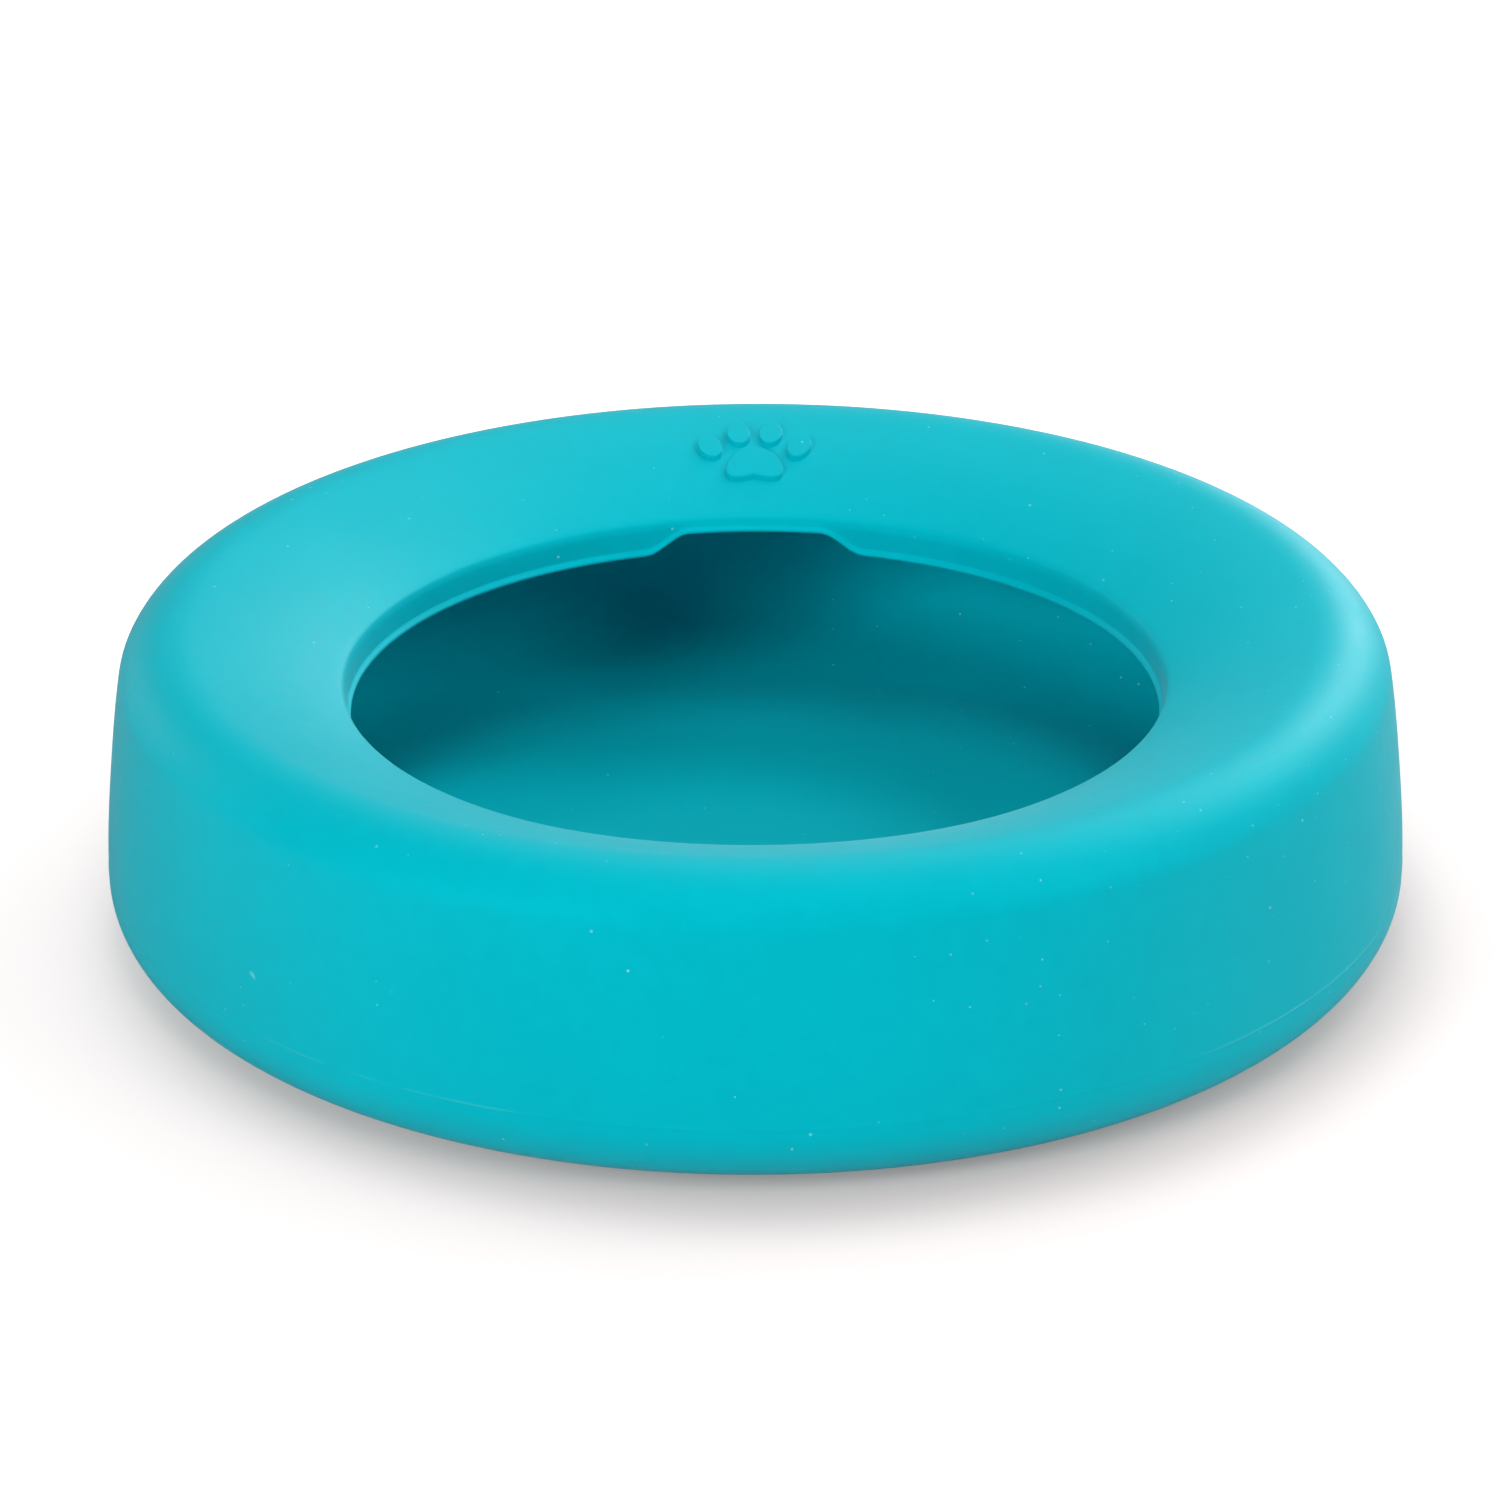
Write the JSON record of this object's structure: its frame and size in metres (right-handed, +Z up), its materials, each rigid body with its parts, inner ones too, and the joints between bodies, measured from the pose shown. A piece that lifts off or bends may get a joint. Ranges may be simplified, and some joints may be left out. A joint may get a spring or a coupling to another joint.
{
  "type": "no-spill pet travel bowl",
  "caption": "Round soft silicone travel bowl for pets with a dished anti-splash rim, a down-turned collar and a pour notch; its wall gives when the rim is pressed down.",
  "frame": {"origin": "centre of the underside, on the surface the bowl stands on", "axes": "+Z up along the bowl's axis; +Y points at the pour notch and the raised motif behind it; +X to the right seen from the front"},
  "size_m": [0.2, 0.2, 0.0485],
  "materials": {
    "silicone": "matte moulded silicone, teal"
  },
  "bodies": {
    "base": {"base_pan": "silicone", "side_wall": "silicone"},
    "guard": {"shoulder_ring": "silicone", "splash_flange": "silicone", "drinking_collar": "silicone"}
  },
  "joints": [
    {"name": "guard_press", "type": "slide", "parent": "base", "child": "guard", "axis": [0, 0, 1], "range_m": [-0.012, 0], "stiffness_N_per_m": 1200, "deforming": ["side_wall"]}
  ]
}
